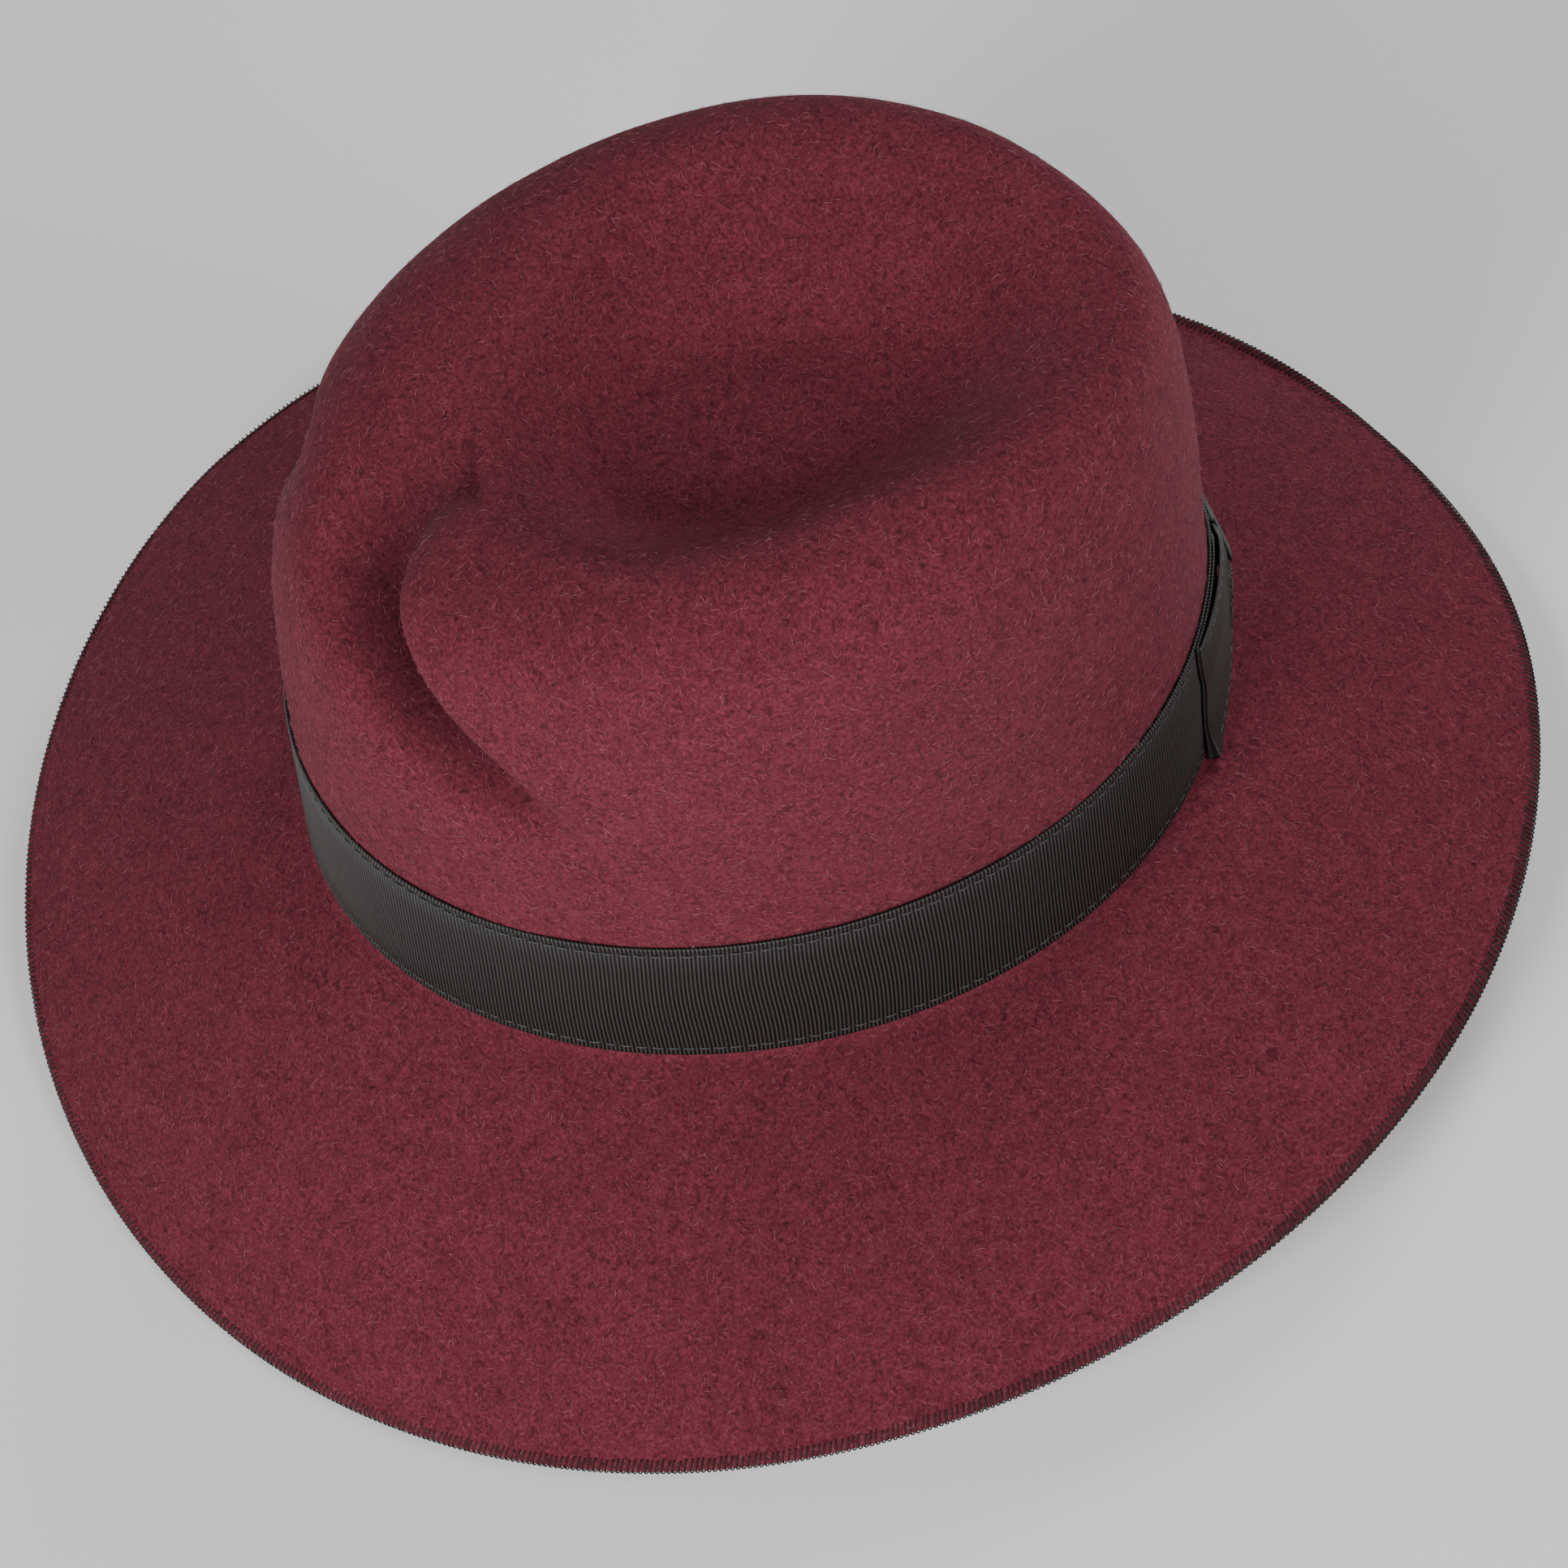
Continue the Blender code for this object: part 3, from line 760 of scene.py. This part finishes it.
def make_stitches(material):
    """Two rows of running stitches along the band, and two along each half of the bow."""
    lines = []
    turns = np.linspace(-np.pi, np.pi, 1001)
    loop = wall_offset(turns, np.full(len(turns), RIBBON_WIDTH / 2), np.full(len(turns), RIBBON))
    length = np.concatenate([[0], np.cumsum(np.linalg.norm(np.diff(loop, axis=0), axis=1))])
    count = int(length[-1] / STITCH_PITCH)
    pitch = length[-1] / count
    for height in (STITCH_INSET, RIBBON_WIDTH - STITCH_INSET):

        def along_band(at, rise, slant, height=height):
            azimuth = np.interp(at, length, turns)
            level = BAND_FOOT + height + slant
            return stand(wall_offset(azimuth, level, RIBBON_GAP + RIBBON + rise))

        lines += stitch_lines(along_band, count, pitch)
    for share in (STITCH_INSET / RIBBON_WIDTH, 1 - STITCH_INSET / RIBBON_WIDTH):
        for way in (-1, 1):

            def along_bow(at, rise, slant, share=share, way=way):
                place = BOW_PLACE + way * (KNOT_WIDTH / 2 + at)
                offset = bow_front(place, share) + RIBBON / 2 + rise
                return on_band(place, bow_height(place, share) + slant, offset)

            span = bow_reach(share) - KNOT_WIDTH / 2
            lines += stitch_lines(along_bow, int(span / STITCH_PITCH), STITCH_PITCH)
    radii = [STITCH_THREAD * np.sin(np.linspace(0.35, np.pi - 0.35, 8)) ** 0.4] * len(lines)
    points, faces = join_tubes(lines, radii)
    add_piece("ribbon_stitches", points, faces, material)


def make_edge_thread(material):
    """The overcast thread round the brim's raw edge: slanting loops over one laid thread."""
    turns = np.linspace(-np.pi, np.pi, 3001)
    rim = brim_point(turns, np.full(len(turns), RIM))
    length = np.concatenate([[0], np.cumsum(np.linalg.norm(np.diff(rim, axis=0), axis=1))])
    count = int(length[-1] / EDGE_PITCH)
    lines, radii = [], []
    half = FELT / 2 + EDGE_THREAD * 0.8
    for index in range(count):
        at = (index + random.normal(0, 0.06)) * length[-1] / count
        depth = EDGE_INSET * random.uniform(0.85, 1.12)
        inward = np.array([depth * point.inward + half * point.back for point in LOOP_POINTS])
        over = np.array([point.over for point in LOOP_POINTS]) * half
        slide = np.linspace(-1, 1, len(over)) * EDGE_SLANT * random.uniform(0.8, 1.2)
        azimuth = np.interp(at + slide, length, turns)
        lines.append(edge_place(azimuth, inward, over))
        radii.append(np.full(len(over), EDGE_THREAD))
    points, faces = join_tubes(lines, radii, sides=5)
    steps = count * EDGE_STEPS
    azimuth = np.interp(np.arange(steps) / steps * length[-1], length, turns)
    wander = EDGE_WANDER * np.sin(2 * np.pi * np.arange(steps) / EDGE_STEPS)
    laid = edge_place(azimuth, wander - half, np.zeros(steps))
    grid = tube_grid(laid, EDGE_THREAD * 0.9, 5, True)
    faces += (quads(steps, 5, round_rows=True) + len(points)).tolist()
    points = np.concatenate([points, grid.reshape(-1, 3)])
    add_piece("edge_thread", points, faces, material)


def edge_place(azimuth, inward, over):
    """A point near the brim's edge: how far in from it, and how far above the felt's middle."""
    rim = brim_point(azimuth, np.full(len(azimuth), RIM))
    step = brim_point(azimuth, np.full(len(azimuth), 0.95))
    into = step - rim
    into /= np.linalg.norm(into, axis=-1, keepdims=True)
    ahead = brim_point(azimuth + 0.002, np.full(len(azimuth), RIM)) - rim
    up = np.cross(into, ahead)
    up *= np.sign(up[:, 2:3])
    up /= np.linalg.norm(up, axis=-1, keepdims=True)
    point = rim - up * FELT / 2 + into * inward[:, None] + up * np.asarray(over)[:, None]
    point[:, 2] = np.maximum(point[:, 2], EDGE_THREAD)
    return point


# Finishes


def new_material(name, colour, roughness, sheen=0.0, sheen_tint=(1, 1, 1), sheen_roughness=0.5):
    material = bpy.data.materials.new(name)
    material.use_nodes = True
    shader = material.node_tree.nodes["Principled BSDF"]
    shader.inputs["Base Color"].default_value = (*colour, 1)
    shader.inputs["Roughness"].default_value = roughness
    shader.inputs["Sheen Weight"].default_value = sheen
    shader.inputs["Sheen Tint"].default_value = (*sheen_tint, 1)
    shader.inputs["Sheen Roughness"].default_value = sheen_roughness
    return material, material.node_tree, shader


def add_noise(tree, place, scale, detail, roughness=0.6, distortion=0.0):
    noise = tree.nodes.new("ShaderNodeTexNoise")
    noise.inputs["Scale"].default_value = scale
    noise.inputs["Detail"].default_value = detail
    noise.inputs["Roughness"].default_value = roughness
    noise.inputs["Distortion"].default_value = distortion
    tree.links.new(place.outputs["Object"], noise.inputs["Vector"])
    return noise


def add_ramp(tree, source, stops):
    ramp = tree.nodes.new("ShaderNodeValToRGB")
    elements = ramp.color_ramp.elements
    while len(elements) < len(stops):
        elements.new(0.5)
    for element, (position, colour) in zip(elements, stops):
        element.position = position
        element.color = (*colour, 1)
    tree.links.new(source, ramp.inputs["Fac"])
    return ramp


def add_mix(tree, kind, factor, a, b):
    mix = tree.nodes.new("ShaderNodeMix")
    mix.data_type = "RGBA"
    mix.blend_type = kind
    mix.inputs[0].default_value = factor
    tree.links.new(a, mix.inputs[6])
    tree.links.new(b, mix.inputs[7])
    return mix.outputs[2]


def felt_finish():
    """Heathered wool: mottled burgundy with a soft, pinkish bloom, and painted shade that darkens it in
    the dents.
    """
    material, tree, shader = new_material(
        "felt_finish", (0.15, 0.017, 0.031), 0.95, 0.04, (1.0, 0.62, 0.66), 0.4
    )
    shader.inputs["Specular IOR Level"].default_value = 0.22
    place = tree.nodes.new("ShaderNodeTexCoord")
    fine = add_noise(tree, place, 1500, 4, 0.7, 0.6)
    flecks = add_noise(tree, place, 520, 3, 0.65, 1.5)
    patches = add_noise(tree, place, 70, 4, 0.6, 0.3)
    base = add_ramp(
        tree,
        fine.outputs["Fac"],
        [(0.30, (0.090, 0.0125, 0.021)), (0.50, (0.170, 0.0260, 0.042)), (0.72, (0.27, 0.052, 0.075))],
    )
    mottle = add_ramp(
        tree,
        flecks.outputs["Fac"],
        [(0.30, (0.50, 0.47, 0.48)), (0.47, (0.95, 0.95, 0.95)), (0.70, (1.28, 1.30, 1.28))],
    )
    cloud = add_ramp(
        tree, patches.outputs["Fac"], [(0.32, (0.94, 0.93, 0.93)), (0.68, (1.05, 1.05, 1.05))]
    )
    colour = add_mix(tree, "MULTIPLY", 1.0, base.outputs["Color"], mottle.outputs["Color"])
    colour = add_mix(tree, "MULTIPLY", 1.0, colour, cloud.outputs["Color"])
    # Painted shade: the felt's colour is darkened in the dents, more where they are deeper
    dent_shade_reader = tree.nodes.new("ShaderNodeAttribute")
    dent_shade_reader.attribute_name = DENT_SHADE_ATTRIBUTE
    dent_shade_ramp = add_ramp(tree, dent_shade_reader.outputs["Fac"], [(0.15, (1, 1, 1)), (0.95, (0.42, 0.38, 0.40))])
    colour = add_mix(tree, "MULTIPLY", 1.0, colour, dent_shade_ramp.outputs["Color"])
    tree.links.new(colour, shader.inputs["Base Color"])
    bump = tree.nodes.new("ShaderNodeBump")
    bump.inputs["Strength"].default_value = 0.7
    bump.inputs["Distance"].default_value = 0.0003
    rough = add_noise(tree, place, 1100, 5, 0.75, 0.8)
    tree.links.new(rough.outputs["Fac"], bump.inputs["Height"])
    tree.links.new(bump.outputs["Normal"], shader.inputs["Normal"])
    return material


def ribbon_finish():
    """Black grosgrain: dark, with a dull silky shine on its ribs, partly from its gloss and partly a
    painted highlight, and painted shade between the ribs.
    """
    material, tree, shader = new_material("ribbon_finish", (0.016, 0.0165, 0.0155), 0.40)
    place = tree.nodes.new("ShaderNodeTexCoord")
    weave = add_noise(tree, place, 2600, 3, 0.7)
    tone = add_ramp(
        tree, weave.outputs["Fac"], [(0.3, (0.038, 0.039, 0.037)), (0.7, (0.10, 0.102, 0.096))]
    )
    # Painted sheen and shade: the colour is near black between the ribs and lighter on their tops
    ridge = tree.nodes.new("ShaderNodeAttribute")
    ridge.attribute_name = RIB_SHEEN_AND_SHADE
    shade = add_ramp(tree, ridge.outputs["Fac"], [(0.3, (0.02, 0.02, 0.02)), (0.95, (1, 1, 1))])
    colour = add_mix(tree, "MULTIPLY", 1.0, tone.outputs["Color"], shade.outputs["Color"])
    tree.links.new(colour, shader.inputs["Base Color"])
    bump = tree.nodes.new("ShaderNodeBump")
    bump.inputs["Strength"].default_value = 0.35
    bump.inputs["Distance"].default_value = 0.00006
    tree.links.new(weave.outputs["Fac"], bump.inputs["Height"])
    tree.links.new(bump.outputs["Normal"], shader.inputs["Normal"])
    return material


def add_area(name, location, size, power):
    light = bpy.data.lights.new(name, "AREA")
    light.shape = "DISK"
    light.size = size
    light.energy = power
    lamp = bpy.data.objects.new(name, light)
    lamp.location = location
    aim = np.array([0, 0, 0.07]) - np.array(location)
    lamp.rotation_mode = "QUATERNION"
    lamp.rotation_quaternion = Matrix(look_axes(-aim)).to_quaternion()
    bpy.context.scene.collection.objects.link(lamp)


def look_axes(back):
    """A rotation, as a list of rows, whose third column points along back."""
    back = back / np.linalg.norm(back)
    right = np.cross([0, 0, 1], back)
    right /= np.linalg.norm(right)
    return np.stack([right, np.cross(back, right), back], axis=1).tolist()


# Soft lamps round the hat: azimuth 0 is in front of it and 90 at the camera's side
Lamp = namedtuple("Lamp", "name azimuth elevation power")
LAMPS = (
    Lamp("key", 45, 33, 13.8),
    Lamp("fill", 135, 34, 6.2),
    Lamp("back", 225, 33, 6.9),
)
LAMP_DISTANCE = 1.4
LAMP_SIZE = 0.6
WORLD_STRENGTH = 0.09
FLOOR_GLOW = 0.2
FLOOR_HALF = 6

# The camera looks at the hat's left side from above, with its own right side leaning down a little
CAMERA_PLACE = (0.7055, 0.0212, 1.0129)
CAMERA_BACK = (0.579, 0.0133, 0.8152)
CAMERA_RIGHT = (0.2288, 0.957, -0.1782)
CAMERA_LENS = 125.57
SENSOR_WIDTH = 36


def make_studio():
    mesh = bpy.data.meshes.new("floor")
    corners = [(x * FLOOR_HALF, y * FLOOR_HALF, 0) for x, y in ((-1, -1), (1, -1), (1, 1), (-1, 1))]
    mesh.from_pydata(corners, [], [(0, 1, 2, 3)])
    floor = bpy.data.objects.new("floor", mesh)
    paper, _, shader = new_material("floor_paper", (0.90, 0.90, 0.90), 0.9)
    shader.inputs["Emission Color"].default_value = (1, 1, 1, 1)
    shader.inputs["Emission Strength"].default_value = FLOOR_GLOW
    mesh.materials.append(paper)
    bpy.context.scene.collection.objects.link(floor)
    world = bpy.data.worlds.new("studio")
    world.use_nodes = True
    sky = world.node_tree.nodes["Background"]
    sky.inputs["Color"].default_value = (1, 1, 1, 1)
    sky.inputs["Strength"].default_value = WORLD_STRENGTH
    bpy.context.scene.world = world
    for name, azimuth, elevation, power in LAMPS:
        turn, rise = math.radians(azimuth), math.radians(elevation)
        plan = LAMP_DISTANCE * math.cos(rise)
        place = (plan * math.sin(turn), -plan * math.cos(turn), LAMP_DISTANCE * math.sin(rise))
        add_area(name, place, LAMP_SIZE, power)


def make_camera():
    data = bpy.data.cameras.new("camera")
    data.sensor_width = SENSOR_WIDTH
    data.lens = CAMERA_LENS
    data.clip_start = 0.05
    data.clip_end = 30
    camera = bpy.data.objects.new("camera", data)
    back = np.array(CAMERA_BACK)
    right = np.array(CAMERA_RIGHT)
    back /= np.linalg.norm(back)
    right -= back * (right @ back)
    right /= np.linalg.norm(right)
    camera.location = CAMERA_PLACE
    camera.rotation_mode = "QUATERNION"
    axes = np.stack([right, np.cross(back, right), back], axis=1)
    camera.rotation_quaternion = Matrix(axes.tolist()).to_quaternion()
    bpy.context.scene.collection.objects.link(camera)
    bpy.context.scene.camera = camera


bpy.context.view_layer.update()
felt = {
    "felt": felt_finish(),
    "hair": new_material("hair_finish", (0.56, 0.19, 0.24), 0.6, 0.3, (1.0, 0.7, 0.75))[0],
    "dark_hair": new_material("dark_hair_finish", (0.05, 0.006, 0.012), 0.8)[0],
}
make_felt(felt)
ribbon = ribbon_finish()
band = make_band(ribbon)
bow = make_bow(ribbon)
knot = make_knot(ribbon)
thread = new_material("thread_finish", (0.060, 0.061, 0.058), 0.5)[0]
make_stitches(thread)
make_edge_thread(new_material("edge_thread_finish", (0.028, 0.016, 0.014), 0.75)[0])
make_studio()
make_camera()
